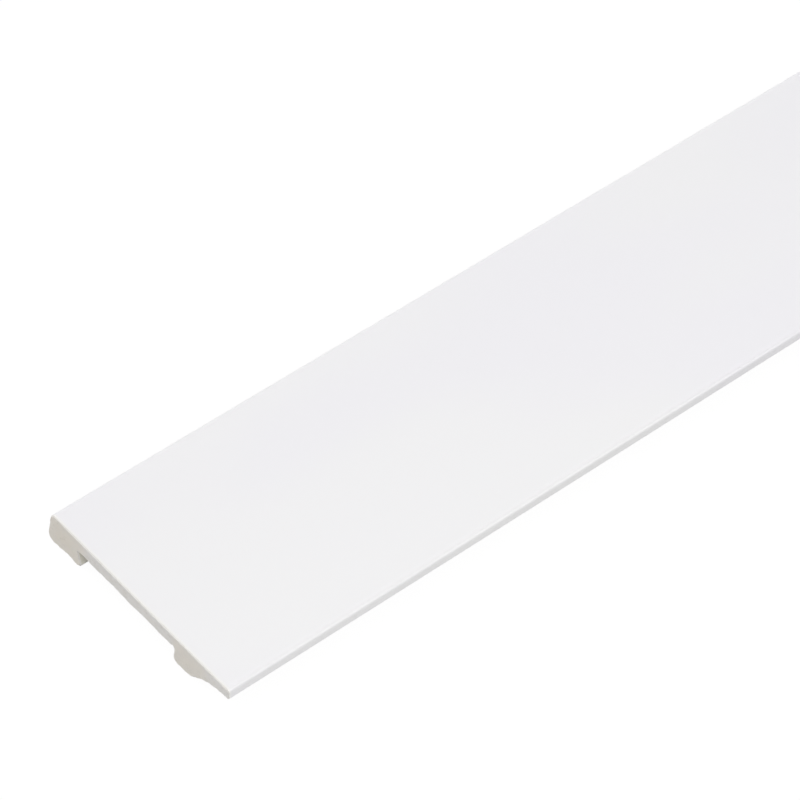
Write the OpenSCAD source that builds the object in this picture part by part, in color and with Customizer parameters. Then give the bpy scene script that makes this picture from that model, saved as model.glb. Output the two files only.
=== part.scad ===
// Flat wall trim moulding, one extruded strip of rigid foamed plastic, lying on its back.
// X runs along the strip, Y across it from the thin edge to the thick edge, Z up from the wall plane.
// The origin is under the middle of the strip. All sizes are in millimetres.

/* [Stock] */
// Length as sold, eight feet, cut square at both ends
stock_len = 2438.4; // [300:0.1:3000]
// Overall width, three and a half inches
stock_w = 88.9; // [80:0.1:110]
// Overall thickness at the thick edge, half an inch
stock_t = 12.7; // [11:0.1:18]

/* [Show face] */
// How much lower the face lies at the thin edge than at the thick edge
face_fall = 1.65; // [0:0.05:2.5]
// Rounding between the face and the thick edge
face_corner_r = 2.4; // [0.5:0.1:3]
// Rounding between the face and the thin edge
thin_corner_r = 1.2; // [0.3:0.1:2]

/* [Thick edge] */
// Angle by which the thick edge leans outwards towards the wall
edge_lean = 11; // [0:0.5:15]
// Rounding where the thick edge meets the wall
heel_r = 2.8; // [1:0.1:4]
// Width of the thick foot along the wall
thick_foot_w = 17.3; // [15:0.1:22]
// Angle by which the inner side of the thick foot leans, so that the foot is wider at the wall
lip_lean = 18; // [0:0.5:22]
// Rounding on the inner lip of the thick foot
lip_r = 2.1; // [0.4:0.1:2.8]
// Width of the shallow hollow in the underside of the thick foot
sink_w = 7.4; // [4:0.1:10]
// Depth of that hollow
sink_depth = 0.6; // [0.2:0.05:1.5]
// Flat left between the hollow and the rounding of the inner lip
sink_land = 0.8; // [0.3:0.1:2]

/* [Web and relief] */
// Thickness of the web behind the face
web_t = 4.9; // [3.5:0.1:6.5]
// Fillets where the web meets both feet
fillet_r = 1.0; // [0.4:0.1:2]

/* [Thin edge] */
// Thickness of the thin lip
lip_t = 4.2; // [3:0.1:6]
// Rounding under the thin lip
lip_under_r = 0.6; // [0.3:0.1:1.5]
// Radius of the hollow curve behind the thin lip
cove_r = 24; // [12:0.5:30]
// Steepest slope of the back curve, between its hollow and its round part
cove_slope = 36.5; // [32:0.5:44]
// Radius of the round part that comes down onto the wall
nose_r = 8.5; // [3:0.5:12]
// Distance from the thin edge to where that slope would meet the wall
nose_y = 18.5; // [17.5:0.1:20]
// Distance from the thin edge to the inner side of the thin foot, at the wall
toe_y = 27.2; // [26:0.1:34]
// Angle by which that inner side leans, so that the foot is wider at the wall
toe_lean = 10; // [0:0.5:15]
// Rounding of the inner corner of the thin foot
toe_r = 2.4; // [0.5:0.1:3]

/* [Hidden] */
$fn = 96;
// Each corner circle stands this much proud of its two edges, so that they cross cleanly.
proud = 0.0005;
// The most of a straight edge that the roundings at its two ends may take.
edge_share = 0.98;
white = [0.95, 0.95, 0.95];

// The thick edge is tangent to the heel circle, whose side is the widest point of the strip.
heel_c = [stock_w - heel_r, heel_r];
edge_n = [cos(edge_lean), sin(edge_lean)];
edge_k = edge_n * heel_c + heel_r;
// The face is tangent to the circle of its corner, whose top is the highest point of the strip.
top_z = stock_t - face_corner_r;
top_c = [(edge_k - face_corner_r - top_z * sin(edge_lean)) / cos(edge_lean), top_z];
face_tilt = atan(face_fall / stock_w);
face_n = [-sin(face_tilt), cos(face_tilt)];
face_k = face_n * top_c + face_corner_r;

thin_z = face_k / cos(face_tilt);
lip_z = thin_z - lip_t;
lip_y = stock_w - thick_foot_w;
sink_r = (pow(sink_w / 2, 2) + pow(sink_depth, 2)) / (2 * sink_depth);
sink_y = lip_y + lip_r / tan((90 - lip_lean) / 2) + sink_land;
sink_c = [sink_y + sink_w / 2, sink_depth - sink_r];
cove_y = nose_y - lip_z / tan(cove_slope);

// Where two lines n * p = k cross.
function cross_at(n, k, m, j) =
    [k * m[1] - j * n[1], n[0] * j - m[0] * k] / (n[0] * m[1] - m[0] * n[1]);

// The underside of the web is parallel to the face, and meets the inner side of each foot here.
web_k = face_k - web_t;
web_at_toe = cross_at([cos(toe_lean), sin(toe_lean)], toe_y * cos(toe_lean), face_n, web_k);
web_at_lip = cross_at([cos(lip_lean), -sin(lip_lean)], lip_y * cos(lip_lean), face_n, web_k);

// The section as sharp corners, each with the radius of its rounding and its side of the material:
// 1 where the rounding takes material off an outer corner, -1 where it fills an inner one.
corners = [
    [[0, thin_z], thin_corner_r, 1],
    [[0, lip_z], lip_under_r, 1],
    [[cove_y, lip_z], cove_r, -1],
    [[nose_y, 0], nose_r, 1],
    [[toe_y, 0], toe_r, 1],
    [web_at_toe, fillet_r, -1],
    [web_at_lip, fillet_r, -1],
    [[lip_y, 0], lip_r, 1],
    [cross_at(edge_n, edge_k, [0, 1], 0), heel_r, 1],
    [cross_at(edge_n, edge_k, face_n, face_k), face_corner_r, 1]
];
count = len(corners);

function unit(v) = v / norm(v);
function at(i) = corners[(i + count) % count][0];
function to_prev(i) = unit(at(i - 1) - at(i));
function to_next(i) = unit(at(i + 1) - at(i));
function half_angle(i) = acos(to_prev(i) * to_next(i)) / 2;
// How far a rounding reaches along its edges. It shrinks where an edge is too short for it.
function full_reach(i) = corners[(i + count) % count][1] / tan(half_angle(i));
function room(i) = edge_share * norm(at(i + 1) - at(i)) / (full_reach(i) + full_reach(i + 1));
function radius(i) = corners[i][1] * min(1, room(i - 1), room(i));
function reach(i) = radius(i) / tan(half_angle(i));
// The two points where a corner's arc leaves its edges, and the arc's centre.
function leave_prev(i) = at(i) + to_prev(i) * reach(i);
function leave_next(i) = at(i) + to_next(i) * reach(i);
function centre(i) =
    at(i) + unit(to_prev(i) + to_next(i)) * (radius(i) / sin(half_angle(i)));

// The circular piece between a corner's arc and the straight line across it.
module arc_piece(i) {
    back = centre(i) - at(i);
    intersection() {
        translate(centre(i)) circle(r = radius(i) + proud);
        polygon([
            leave_prev(i) + to_prev(i) * reach(i) * 0.5,
            at(i) - back * 0.5,
            leave_next(i) + to_next(i) * reach(i) * 0.5,
            centre(i)
        ]);
    }
}

// The cross-section, with every rounding a true arc.
module section() {
    difference() {
        union() {
            polygon([for (i = [0 : count - 1]) each [leave_prev(i), leave_next(i)]]);
            for (i = [0 : count - 1]) if (corners[i][2] > 0) arc_piece(i);
        }
        for (i = [0 : count - 1]) if (corners[i][2] < 0) arc_piece(i);
        translate(sink_c) circle(r = sink_r);
    }
}

// The strip, its section carried straight from one sawn end to the other.
module moulding() {
    color(white)
        translate([-stock_len / 2, -stock_w / 2, 0])
            rotate([90, 0, 90])
                linear_extrude(height = stock_len) section();
}

moulding();
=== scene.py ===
import math
import random

import bmesh
import bpy
from mathutils import Matrix, Vector, noise
from mathutils.geometry import delaunay_2d_cdt


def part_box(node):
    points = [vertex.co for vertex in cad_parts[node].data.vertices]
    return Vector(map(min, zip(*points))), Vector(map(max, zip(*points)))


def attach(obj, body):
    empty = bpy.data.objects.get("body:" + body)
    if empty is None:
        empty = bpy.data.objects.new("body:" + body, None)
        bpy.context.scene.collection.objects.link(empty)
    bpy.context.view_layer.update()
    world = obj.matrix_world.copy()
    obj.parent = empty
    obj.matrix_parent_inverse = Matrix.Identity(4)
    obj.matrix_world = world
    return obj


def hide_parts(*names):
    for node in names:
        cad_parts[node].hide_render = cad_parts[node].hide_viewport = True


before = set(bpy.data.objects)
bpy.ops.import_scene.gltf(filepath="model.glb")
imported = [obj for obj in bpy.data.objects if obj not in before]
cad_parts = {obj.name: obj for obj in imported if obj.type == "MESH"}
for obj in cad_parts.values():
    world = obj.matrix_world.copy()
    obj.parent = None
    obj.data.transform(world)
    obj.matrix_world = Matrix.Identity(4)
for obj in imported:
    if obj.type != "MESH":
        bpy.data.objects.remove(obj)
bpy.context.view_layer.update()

# The section of the moulding, as the opening of the die gives it to the strip: a flat face, a thick edge
# that leans out into a rolled heel, two feet, and a thin edge on a long ogee. It is drawn corner by corner
# with the sizes of the CAD model, in metres from the thin edge (first) and from the wall (second).
MM = 0.001
(strip_x0, strip_y0, wall_z), (strip_x1, strip_y1, top_z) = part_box("moulding")
strip_len = strip_x1 - strip_x0
strip_w = strip_y1 - strip_y0
strip_t = top_z - wall_z

face_fall = 1.65 * MM
face_corner_r = 2.4 * MM
thin_corner_r = 1.2 * MM
edge_lean = math.radians(11)
heel_r = 2.8 * MM
thick_foot_w = 17.3 * MM
lip_lean = math.radians(18)
lip_r = 2.1 * MM
sink_w = 7.4 * MM
sink_depth = 0.6 * MM
sink_land = 0.8 * MM
web_t = 4.9 * MM
fillet_r = 1.0 * MM
lip_t = 4.2 * MM
lip_under_r = 0.6 * MM
cove_r = 24 * MM
cove_slope = math.radians(36.5)
nose_r = 8.5 * MM
nose_y = 18.5 * MM
toe_y = 27.2 * MM
toe_lean = math.radians(10)
toe_r = 2.4 * MM

# Each side of the section is a line with a unit normal n and a distance k: its points have n . p = k.
edge_n = Vector((math.cos(edge_lean), math.sin(edge_lean)))
edge_k = edge_n.dot((strip_w - heel_r, heel_r)) + heel_r
face_corner_z = strip_t - face_corner_r
face_corner_y = (edge_k - face_corner_r - face_corner_z * edge_n.y) / edge_n.x
face_tilt = math.atan(face_fall / strip_w)
face_n = Vector((-math.sin(face_tilt), math.cos(face_tilt)))
face_k = face_n.dot((face_corner_y, face_corner_z)) + face_corner_r
web_k = face_k - web_t
lip_z = face_k / face_n.y - lip_t
foot_y = strip_w - thick_foot_w
toe_n = Vector((math.cos(toe_lean), math.sin(toe_lean)))
foot_n = Vector((math.cos(lip_lean), -math.sin(lip_lean)))
upright, level = Vector((1, 0)), Vector((0, 1))


def cross_at(n, k, m, j):
    """Where the lines n . p = k and m . p = j cross."""
    det = n.x * m.y - n.y * m.x
    return Vector(((k * m.y - j * n.y) / det, (n.x * j - m.x * k) / det))


section_corners = [
    (cross_at(upright, 0, face_n, face_k), thin_corner_r),
    (Vector((0, lip_z)), lip_under_r),
    (Vector((nose_y - lip_z / math.tan(cove_slope), lip_z)), cove_r),
    (Vector((nose_y, 0)), nose_r),
    (Vector((toe_y, 0)), toe_r),
    (cross_at(toe_n, toe_y * toe_n.x, face_n, web_k), fillet_r),
    (cross_at(foot_n, foot_y * foot_n.x, face_n, web_k), fillet_r),
    (Vector((foot_y, 0)), lip_r),
    (cross_at(edge_n, edge_k, level, 0), heel_r),
    (cross_at(edge_n, edge_k, face_n, face_k), face_corner_r),
]

# An arc gets a point every few degrees or half millimetre, and a flat one every millimetre or so, with one
# close to each of its ends, so that the shading of a rounding stops where the rounding does.
arc_turn = math.radians(6)
arc_pitch = 0.5 * MM
flat_pitch = 1.2 * MM
flat_end = 0.25 * MM


def arc_points(centre, start, end):
    """Points on the shorter arc from start to end, both included."""
    a, b = start - centre, end - centre
    turn = math.atan2(a.x * b.y - a.y * b.x, a.dot(b))
    steps = max(3, math.ceil(max(abs(turn) / arc_turn, abs(turn) * a.length / arc_pitch)))
    return [centre + Matrix.Rotation(turn * i / steps, 2) @ a for i in range(steps + 1)]


def flat_points(start, end):
    """Points between the ends of a flat, without the ends."""
    along = end - start
    if along.length < 3 * flat_end:
        return []
    near, far = start + along.normalized() * flat_end, end - along.normalized() * flat_end
    steps = math.ceil((far - near).length / flat_pitch)
    return [near.lerp(far, i / steps) for i in range(steps + 1)]


roundings = []
for i, (corner, radius) in enumerate(section_corners):
    before = section_corners[i - 1][0]
    after = section_corners[(i + 1) % len(section_corners)][0]
    to_before, to_after = (before - corner).normalized(), (after - corner).normalized()
    half = to_before.angle(to_after) / 2
    reach = radius / math.tan(half)
    centre = corner + (to_before + to_after).normalized() * (radius / math.sin(half))
    roundings.append(arc_points(centre, corner + to_before * reach, corner + to_after * reach))
    if corner == Vector((foot_y, 0)):
        # The shallow hollow under the thick foot follows the rounding of its inner lip.
        sink_y = foot_y + reach + sink_land
        sink_r = ((sink_w / 2) ** 2 + sink_depth**2) / (2 * sink_depth)
        sink_centre = Vector((sink_y + sink_w / 2, sink_depth - sink_r))
        roundings.append(arc_points(sink_centre, Vector((sink_y, 0)), Vector((sink_y + sink_w, 0))))

outline = []
for arc, following in zip(roundings, roundings[1:] + roundings[:1]):
    outline += arc + flat_points(arc[-1], following[0])


class Wire:
    """A node socket. Sums on it add Math nodes, and node() adds any other kind of node."""

    def __init__(self, tree, socket=None):
        self.tree = tree
        self.socket = socket

    def node(self, kind, settings=None, values=None, out=0):
        """Adds a node, sets it up, gives its sockets their values or links, and returns one output."""
        made = self.tree.nodes.new(kind)
        for name, value in (settings or {}).items():
            setattr(made, name, value)
        for name, value in (values or {}).items():
            if isinstance(value, Wire):
                self.tree.links.new(value.socket, made.inputs[name])
            else:
                made.inputs[name].default_value = value
        return Wire(self.tree, made.outputs[out]) if len(made.outputs) else made

    def sum(self, operation, first, second):
        return self.node("ShaderNodeMath", {"operation": operation}, {0: first, 1: second})

    def __add__(self, other):
        return self.sum("ADD", self, other)

    def __radd__(self, other):
        return self.sum("ADD", other, self)

    def __sub__(self, other):
        return self.sum("SUBTRACT", self, other)

    def __rsub__(self, other):
        return self.sum("SUBTRACT", other, self)

    def __mul__(self, other):
        return self.sum("MULTIPLY", self, other)

    def __rmul__(self, other):
        return self.sum("MULTIPLY", other, self)

    def __gt__(self, other):
        return self.sum("GREATER_THAN", self, other)


def new_material(name):
    """An empty node material, with the wire that starts its expressions."""
    material = bpy.data.materials.new(name)
    material.use_nodes = True
    material.node_tree.nodes.clear()
    return material, Wire(material.node_tree)


def mixed(wire, factor, first, second):
    """A colour between two others."""
    settings = {"data_type": "RGBA"}
    return wire.node("ShaderNodeMix", settings, {"Factor": factor, 6: first, 7: second}, out=2)


def stretched(wire, scale, shift=(0, 0, 0)):
    """Object coordinates, in metres, times a scale for each axis and moved."""
    place = wire.node("ShaderNodeTexCoord", out=3)
    values = {0: place, 1: scale, 2: shift}
    return wire.node("ShaderNodeVectorMath", {"operation": "MULTIPLY_ADD"}, values)


def noise_on(wire, scale, detail):
    """A noise over object coordinates, with a scale for each axis."""
    values = {"Vector": stretched(wire, scale), "Scale": 1.0, "Detail": detail}
    return wire.node("ShaderNodeTexNoise", None, values)


def smooth_step(wire, value, low, high):
    """0 below low and 1 above high, with an eased slope between."""
    settings = {"interpolation_type": "SMOOTHSTEP"}
    values = {"Value": value, "From Min": low, "From Max": high}
    return wire.node("ShaderNodeMapRange", settings, values)


# The skin that the cooled die leaves on the foam: smooth satin white, with faint lines drawn along the
# strip and a very slight cloudiness where the plastic cooled unevenly. The back, which nobody sees once the
# strip is up, is painted cream: a painted warm shade in the hollows under the strip, not a colour of the
# skin. Near each end the skin is painted lighter: a painted highlight along the sawn rim, with the saw's
# scuff.
skin_white = (0.885, 0.882, 0.896, 1)
skin_cloud = (0.874, 0.866, 0.899, 1)
# Painted warm shade for the back and its hollows under the strip, not a colour of the skin.
hollow_shade_cream = (0.862, 0.838, 0.748, 1)
# Lighter, warmer skin near the ends: a painted highlight along the sawn rim, together with the saw's scuff.
scuff_and_highlight = (0.905, 0.892, 0.864, 1)
skin_rough = 0.31
skin_rough_span = 0.1
skin_ior = 1.5
skin_bump = 0.2
skin_relief = 0.02 * MM
cloud_scale = (7, 16, 16)
cloud_edges = (0.35, 0.65)
line_scale = (1.5, 900, 900)
line_share = 0.6
peel_scale = (500, 900, 900)
back_high = 8.6 * MM
back_thin = 1.2 * MM
back_thick = 86.2 * MM
scuff_highlight_reach = 1.5 * MM

skin, wire = new_material("satin_skin")
cloud = noise_on(wire, cloud_scale, 1.0)
line = noise_on(wire, line_scale, 3.0)
peel = noise_on(wire, peel_scale, 2.0)
spot = wire.node("ShaderNodeSeparateXYZ", None, {"Vector": stretched(wire, (1, 1, 1))}).socket.node.outputs
along, across, up = (Wire(wire.tree, output) for output in spot)
from_thin = across - strip_y0
# back: the mask of the painted warm shade, over the low back of the strip and its hollows.
back = smooth_step(wire, from_thin, back_thin * 0.5, back_thin)
back = back * (1 - smooth_step(wire, from_thin, back_thick, back_thick + back_thin * 0.5))
back = back * (1 - (up > wall_z + back_high))
end_gap = strip_len / 2 - wire.node("ShaderNodeMath", {"operation": "ABSOLUTE"}, {0: along})
colour = mixed(wire, smooth_step(wire, cloud, *cloud_edges), skin_white, skin_cloud)
# Within a little of each end the skin is painted lighter: a painted highlight along the sawn rim, with the
# saw's scuff.
colour = mixed(wire, 1 - smooth_step(wire, end_gap, 0.0, scuff_highlight_reach), colour, scuff_and_highlight)
# The back and its hollows take the painted warm shade.
colour = mixed(wire, back, colour, hollow_shade_cream)
height = line * line_share + peel * (1 - line_share)
bump = wire.node(
    "ShaderNodeBump", None, {"Strength": skin_bump, "Distance": skin_relief, "Height": height}
)
surface = wire.node(
    "ShaderNodeBsdfPrincipled",
    None,
    {
        "Base Color": colour,
        "Roughness": skin_rough + (line - 0.5) * skin_rough_span,
        "IOR": skin_ior,
        "Normal": bump,
    },
)
wire.node("ShaderNodeOutputMaterial", None, {"Surface": surface})

# The sawn ends: the saw opens the fine cells of the foamed inside, which is duller than the skin. The foam
# is nearly white in the thin web, and creamier in the two feet, which cool slowly, most of all deep inside
# them. The blade leaves faint arcs, and a few larger cells stay open as pores, whose pits are painted dark:
# painted shade in the hollows.
foam_dense = (0.800, 0.783, 0.762, 1)
foam_core = (0.790, 0.745, 0.672, 1)
foam_dull = (0.760, 0.730, 0.682, 1)
# Painted shade for the pits of the open pores.
pore_pit_shade = (0.56, 0.53, 0.47, 1)
dense_depth = 0.8 * MM
core_depth = 4.8 * MM
rim_cream = 0.8
rim_white = (0.1 * MM, 0.6 * MM)
thin_foot_cream = 0.8
thin_foot_from = (8 * MM, 14 * MM)
thin_foot_to = (25 * MM, 29 * MM)
thick_foot_from = (67 * MM, 73 * MM)
foam_rough = 0.86
foam_ior = 1.45
foam_bump = 0.5
foam_relief = 0.06 * MM
mottle_scale = (420, 420, 420)
mottle_edges = (0.45, 0.75)
mottle_share = 0.6
mottle_relief = 0.5
cell_scale = 2600
cell_relief = 0.6
blade_pitch = 1.1 * MM
blade_centre = (0, 0.06, -0.15)
blade_relief = 0.15

foam, wire = new_material("sawn_foam")
depth = wire.node("ShaderNodeAttribute", {"attribute_name": "skin_depth"}, out=2)
# The painted shade of the pores' pits, as a weight on each vertex.
pore_shade = wire.node("ShaderNodeAttribute", {"attribute_name": "pore_shade"}, out=2)
cells = wire.node("ShaderNodeTexVoronoi", None, {"Vector": stretched(wire, (1, 1, 1)), "Scale": cell_scale})
mottle = noise_on(wire, mottle_scale, 3.0)
spot = wire.node("ShaderNodeSeparateXYZ", None, {"Vector": stretched(wire, (1, 1, 1))}, out=1)
from_thin = spot - strip_y0
feet = smooth_step(wire, from_thin, *thin_foot_from) * (1 - smooth_step(wire, from_thin, *thin_foot_to))
feet = feet * thin_foot_cream + smooth_step(wire, from_thin, *thick_foot_from)
cream = rim_cream + smooth_step(wire, depth, dense_depth, core_depth) * (1 - rim_cream)
cream = cream * feet * smooth_step(wire, depth, *rim_white)
body = mixed(wire, cream, foam_dense, foam_core)
body = mixed(wire, smooth_step(wire, mottle, *mottle_edges) * mottle_share, body, foam_dull)
# Painted shade darkens the pits of the open pores.
body = mixed(wire, pore_shade, body, pore_pit_shade)
offset = wire.node(
    "ShaderNodeVectorMath", {"operation": "SUBTRACT"}, {0: stretched(wire, (0, 1, 1)), 1: blade_centre}
)
blade_r = wire.node("ShaderNodeVectorMath", {"operation": "LENGTH"}, {0: offset}, out=1)
arcs = wire.node("ShaderNodeMath", {"operation": "SINE"}, {0: blade_r * (2 * math.pi / blade_pitch)})
height = cells * cell_relief + arcs * blade_relief + mottle * mottle_relief
bump = wire.node(
    "ShaderNodeBump", None, {"Strength": foam_bump, "Distance": foam_relief, "Height": height}
)
surface = wire.node(
    "ShaderNodeBsdfPrincipled",
    None,
    {"Base Color": body, "Roughness": foam_rough, "IOR": foam_ior, "Normal": bump},
)
wire.node("ShaderNodeOutputMaterial", None, {"Surface": surface})

# The strip: the section is carried along it with a ring every few centimetres. It is left open at both
# ends, which the saw gives their own finish.
ring_pitch = 0.05
saw_ease = 0.35 * MM
sweep = bpy.data.node_groups.new("extrude_section", "GeometryNodeTree")
for name, kind in (
    ("Section", "NodeSocketGeometry"),
    ("Length", "NodeSocketFloat"),
    ("Ring Pitch", "NodeSocketFloat"),
    ("Skin", "NodeSocketMaterial"),
):
    sweep.interface.new_socket(name, in_out="INPUT", socket_type=kind)
sweep.interface.new_socket("Strip", in_out="OUTPUT", socket_type="NodeSocketGeometry")
wire = Wire(sweep)
given = sweep.nodes.new("NodeGroupInput")
sizes = {socket.name: Wire(sweep, socket) for socket in given.outputs if socket.name}
half_len = sizes["Length"] * 0.5
path_start = wire.node("ShaderNodeCombineXYZ", None, {"X": half_len * -1})
path_end = wire.node("ShaderNodeCombineXYZ", None, {"X": half_len})
path = wire.node("GeometryNodeCurvePrimitiveLine", None, {"Start": path_start, "End": path_end})
path = wire.node(
    "GeometryNodeResampleCurve", {"mode": "LENGTH"}, {"Curve": path, "Length": sizes["Ring Pitch"]}
)
profile = wire.node("GeometryNodeMeshToCurve", None, {"Mesh": sizes["Section"]})
strip = wire.node(
    "GeometryNodeCurveToMesh", None, {"Curve": path, "Profile Curve": profile, "Fill Caps": False}
)
strip = wire.node("GeometryNodeRealizeInstances", None, {"Geometry": strip})
strip = wire.node("GeometryNodeSetMaterial", None, {"Geometry": strip, "Material": sizes["Skin"]})
wire.node("NodeGroupOutput", None, {"Strip": strip})

# A path along +X carries its section with the section's own x along -Y and its y along -Z.
section = bpy.data.meshes.new("section")
section.from_pydata(
    [(-strip_y0 - p.x, -wall_z - p.y, 0) for p in outline],
    [(i, (i + 1) % len(outline)) for i in range(len(outline))],
    [],
)
drawn = bpy.data.objects.new("drawn_section", section)
bpy.context.collection.objects.link(drawn)
modifier = drawn.modifiers.new("extrude", "NODES")
modifier.node_group = sweep
sockets = {item.name: item.identifier for item in sweep.interface.items_tree if item.in_out == "INPUT"}
modifier[sockets["Length"]] = strip_len - 2 * saw_ease
modifier[sockets["Ring Pitch"]] = ring_pitch
modifier[sockets["Skin"]] = skin
swept = bpy.data.meshes.new_from_object(drawn.evaluated_get(bpy.context.evaluated_depsgraph_get()))
drawn.modifiers.remove(modifier)
bpy.data.objects.remove(drawn)
swept.name = "moulding_strip"
swept.materials.append(foam)

# Each sawn end is a mesh of small triangles from rim to rim, a few hundredths of a millimetre rough, with
# the open pores sunk into it. Each pore's centre and rim carry a weight for the painted shade in its pit.
# The saw breaks the rim a little unevenly, and under the web, where the teeth
# leave the foam, it pushes out a ragged burr.
end_seeds = ((-1, 7), (1, 8))
grain_pitch = 0.75 * MM
grain_row = 0.866
grain_shake = 0.2
rim_clear = 0.55 * MM
rough_depth = 0.03 * MM
pore_count = 46
pore_sides = 6
pore_r = (0.12 * MM, 0.26 * MM)
pore_clear = 2.2
pore_rim_shade = 0.15
chip_pitch = 1.7 * MM
chip_share = 0.85
burr_pitch = 5.5 * MM
burr_high = 0.50 * MM
burr_bias = 0.15
burr_facing = (0.75, 0.95)
web_under_low = 5.5 * MM
sharp_turn = math.radians(30)
probe = 0.1 * MM
merge_reach = 1e-6
cdt_reach = 1e-8


def rim_distance(p):
    """How far a point of the section is from its outline."""
    best = strip_w
    for a, b in zip(outline, outline[1:] + outline[:1]):
        along = b - a
        t = min(1, max(0, (p - a).dot(along) / along.length_squared))
        best = min(best, (p - a - along * t).length)
    return best


def inside(p):
    """Whether a point lies within the outline."""
    crossings = 0
    for a, b in zip(outline, outline[1:] + outline[:1]):
        if (a.y > p.y) != (b.y > p.y) and p.x < a.x + (b.x - a.x) * (p.y - a.y) / (b.y - a.y):
            crossings += 1
    return crossings % 2 == 1


shell = bmesh.new()
shell.from_mesh(swept)
depth_layer = shell.verts.layers.float.new("skin_depth")
# A weight of painted shade for each vertex in a pore's pit.
pore_shade_layer = shell.verts.layers.float.new("pore_shade")

for side, seed in end_seeds:
    draw = random.Random(seed)
    eased = []
    for i, p in enumerate(outline):
        tangent = (outline[(i + 1) % len(outline)] - outline[i - 1]).normalized()
        inward = Vector((-tangent.y, tangent.x))
        if not inside(p + inward * probe):
            inward = -inward
        chip = noise.noise(Vector((p.x / chip_pitch, p.y / chip_pitch, seed)))
        shift = saw_ease * (1 + chip_share * chip)
        facing_low, facing_full = burr_facing
        if inward.y > facing_low and p.x > toe_y and p.y > web_under_low:
            ragged = noise.noise(Vector((p.x / burr_pitch, seed, 0.5)))
            share = min(1, (inward.y - facing_low) / (facing_full - facing_low))
            shift -= (saw_ease + burr_high * max(0, ragged + burr_bias)) * share
        eased.append(p + inward * shift)
    spots = [(p, saw_ease, 0.0, 0.0) for p in eased]

    grid = []
    rows = math.ceil(strip_t / (grain_pitch * grain_row))
    for row in range(rows):
        for col in range(math.ceil(strip_w / grain_pitch)):
            shake_y = draw.uniform(-grain_shake, grain_shake)
            shake_z = draw.uniform(-grain_shake, grain_shake)
            p = Vector(((col + row % 2 / 2) * grain_pitch, row * grain_pitch * grain_row))
            p += Vector((shake_y, shake_z)) * grain_pitch
            if inside(p):
                away = rim_distance(p)
                if away > rim_clear:
                    grid.append((p, away))
    pores = draw.sample(grid, pore_count)
    for p, away in grid:
        if all((p - centre).length > pore_clear * pore_r[1] for centre, _ in pores):
            spots.append((p, away, 0.0, draw.random() * rough_depth))
    for centre, away in pores:
        if away < rim_clear + pore_r[1]:
            continue
        r = draw.uniform(*pore_r)
        spots.append((centre, away, 1.0, r))
        for k in range(pore_sides):
            turn = 2 * math.pi * k / pore_sides
            ring = Vector((math.cos(turn), math.sin(turn))) * r
            spots.append((centre + ring, away, pore_rim_shade, 0.0))

    rim_edges = [(i, (i + 1) % len(eased)) for i in range(len(eased))]
    places = [spot[0] for spot in spots]
    points, _, faces, origins, _, _ = delaunay_2d_cdt(places, rim_edges, [], 1, cdt_reach)
    end_x = strip_x1 if side > 0 else strip_x0
    made = []
    for p, came_from in zip(points, origins):
        _, away, pore_shade_weight, sunk = spots[came_from[0]]
        vert = shell.verts.new((end_x - side * sunk, strip_y0 + p.x, wall_z + p.y))
        # The weight of painted shade in a pore's pit: full at its centre, pore_rim_shade at its rim.
        vert[depth_layer] = away
        vert[pore_shade_layer] = pore_shade_weight
        made.append(vert)
    for corners in faces:
        shell.faces.new([made[c] for c in corners]).material_index = 1
    outer = [
        shell.verts.new((end_x - side * saw_ease, strip_y0 + p.x, wall_z + p.y)) for p in outline
    ]
    for i, j in rim_edges:
        shell.faces.new((outer[i], outer[j], made[j], made[i])).material_index = 1

# The ends are closed onto the swept skin, and the shading turns sharply all round their rims.
bmesh.ops.remove_doubles(shell, verts=shell.verts, dist=merge_reach)
bmesh.ops.recalc_face_normals(shell, faces=shell.faces)
for face in shell.faces:
    face.smooth = True
for edge in shell.edges:
    one, other = edge.link_faces
    edge.smooth = one.material_index == other.material_index and edge.calc_face_angle() < sharp_turn
shell.to_mesh(swept)
shell.free()

moulding = bpy.data.objects.new("moulding_strip", swept)
bpy.context.collection.objects.link(moulding)
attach(moulding, "root")
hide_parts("moulding")

# The floor is a plain pale sheet. The camera sees it as white, with the strip's own soft shadow.
floor_half = 12.0
floor_shade = 0.6
floor_glow = 1.05
floor_glow_share = 0.92
floor_drop = 0.1 * MM
floor_mesh = bpy.data.meshes.new("floor")
floor_mesh.from_pydata(
    [
        (x * floor_half, y * floor_half, wall_z - floor_drop)
        for x, y in ((-1, -1), (1, -1), (1, 1), (-1, 1))
    ],
    [],
    [(0, 1, 2, 3)],
)
floor = bpy.data.objects.new("floor", floor_mesh)
bpy.context.collection.objects.link(floor)
paper, wire = new_material("floor_white")
rays = wire.node("ShaderNodeLightPath").socket.node.outputs
seen = Wire(wire.tree, rays["Is Camera Ray"])
seen = seen + Wire(wire.tree, rays["Is Glossy Ray"]) + Wire(wire.tree, rays["Is Transmission Ray"])
matte = wire.node("ShaderNodeBsdfDiffuse", None, {"Color": (floor_shade,) * 3 + (1,)})
glow = wire.node("ShaderNodeEmission", None, {"Color": (1, 1, 1, 1), "Strength": floor_glow})
surface = wire.node("ShaderNodeMixShader", None, {0: seen * floor_glow_share, 1: matte, 2: glow})
wire.node("ShaderNodeOutputMaterial", None, {"Surface": surface})
floor_mesh.materials.append(paper)

# Soft studio light: an even sky, and wide lamps over and around the strip.
sky_level = 0.27
world = bpy.data.worlds.new("studio")
world.use_nodes = True
world.node_tree.nodes.clear()
bpy.context.scene.world = world
wire = Wire(world.node_tree)
rays = wire.node("ShaderNodeLightPath").socket.node.outputs
seen = Wire(wire.tree, rays["Is Camera Ray"]) + Wire(wire.tree, rays["Is Glossy Ray"])
glow = wire.node(
    "ShaderNodeBackground", None, {"Color": (1, 1, 1, 1), "Strength": sky_level + seen * (1 - sky_level)}
)
wire.node("ShaderNodeOutputWorld", None, {"Surface": glow})

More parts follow.
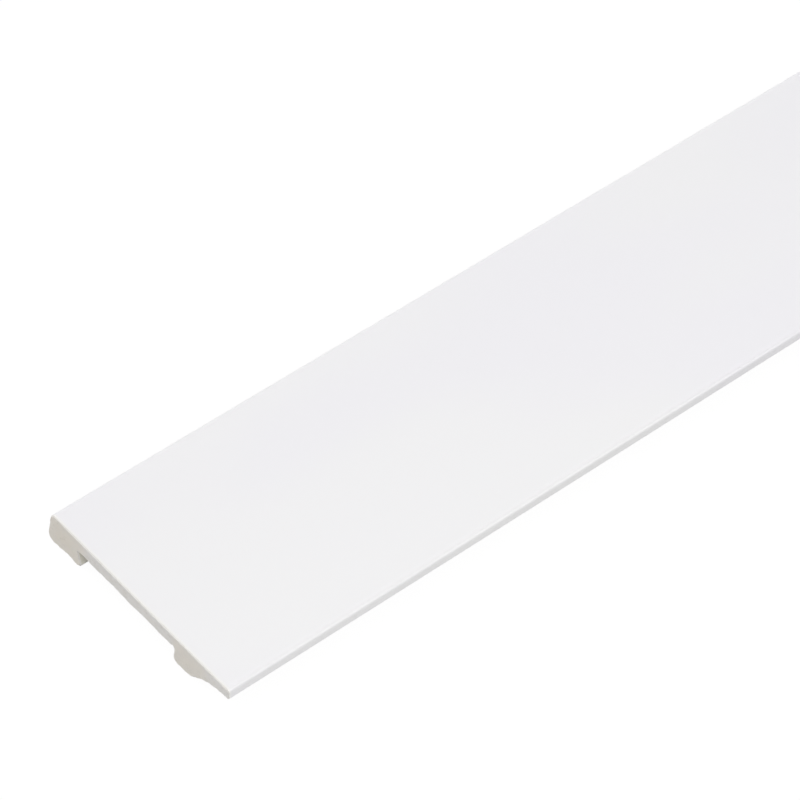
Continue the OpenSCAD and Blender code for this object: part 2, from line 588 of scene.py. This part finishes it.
for name, towards, strength, spread in (
    ("front_lamp", (0.45, -0.74, 0.50), 0.60, 15),
    ("top_lamp", (-0.22, -0.05, 0.97), 0.97, 60),
    ("back_lamp", (-0.30, 0.85, 0.35), 1.35, 50),
    ("left_lamp", (-0.72, -0.25, 0.45), 0.20, 50),
):
    lamp = bpy.data.lights.new(name, "SUN")
    lamp.energy = strength
    lamp.angle = math.radians(spread)
    holder = bpy.data.objects.new(name, lamp)
    holder.rotation_euler = Vector(towards).to_track_quat("Z", "Y").to_euler()
    bpy.context.collection.objects.link(holder)

# A softer lamp stands near the seen end, and lights that end a little more than the rest.
near_place = Vector((-1.35, -0.85, 0.80))
near_aim = Vector((-1.10, 0.0, 0.0))
near_watts = 2.9
near_size = 0.6
near_tint = (1.0, 0.99, 0.94)
lamp = bpy.data.lights.new("near_lamp", "AREA")
lamp.energy = near_watts
lamp.size = near_size
lamp.color = near_tint
holder = bpy.data.objects.new("near_lamp", lamp)
holder.location = near_place
holder.rotation_euler = (near_place - near_aim).to_track_quat("Z", "Y").to_euler()
bpy.context.collection.objects.link(holder)

# The camera looks down on the near end of the strip from the side of the thin edge, with a long lens.
view_turn = math.radians(-41.8636)
view_rise = math.radians(47.9296)
view_roll = math.radians(2.4245)
view_aim = Vector((-1.10518, 0.01226, 0.0119))
view_distance = 1.37221
focal_pixels = 4372.18
image_pixels = 800
camera = bpy.data.cameras.new("camera")
camera.sensor_width = 36
camera.lens = camera.sensor_width * focal_pixels / image_pixels
camera.clip_end = 100
viewer = bpy.data.objects.new("camera", camera)
back = Vector(
    (
        math.sin(view_turn) * math.cos(view_rise),
        -math.cos(view_turn) * math.cos(view_rise),
        math.sin(view_rise),
    )
)
turned = Matrix.Rotation(view_turn, 4, "Z") @ Matrix.Rotation(math.pi / 2 - view_rise, 4, "X")
turned = turned @ Matrix.Rotation(view_roll, 4, "Z")
viewer.matrix_world = Matrix.Translation(view_aim + back * view_distance) @ turned
bpy.context.collection.objects.link(viewer)
bpy.context.scene.camera = viewer
bpy.context.scene.view_settings.view_transform = "Standard"
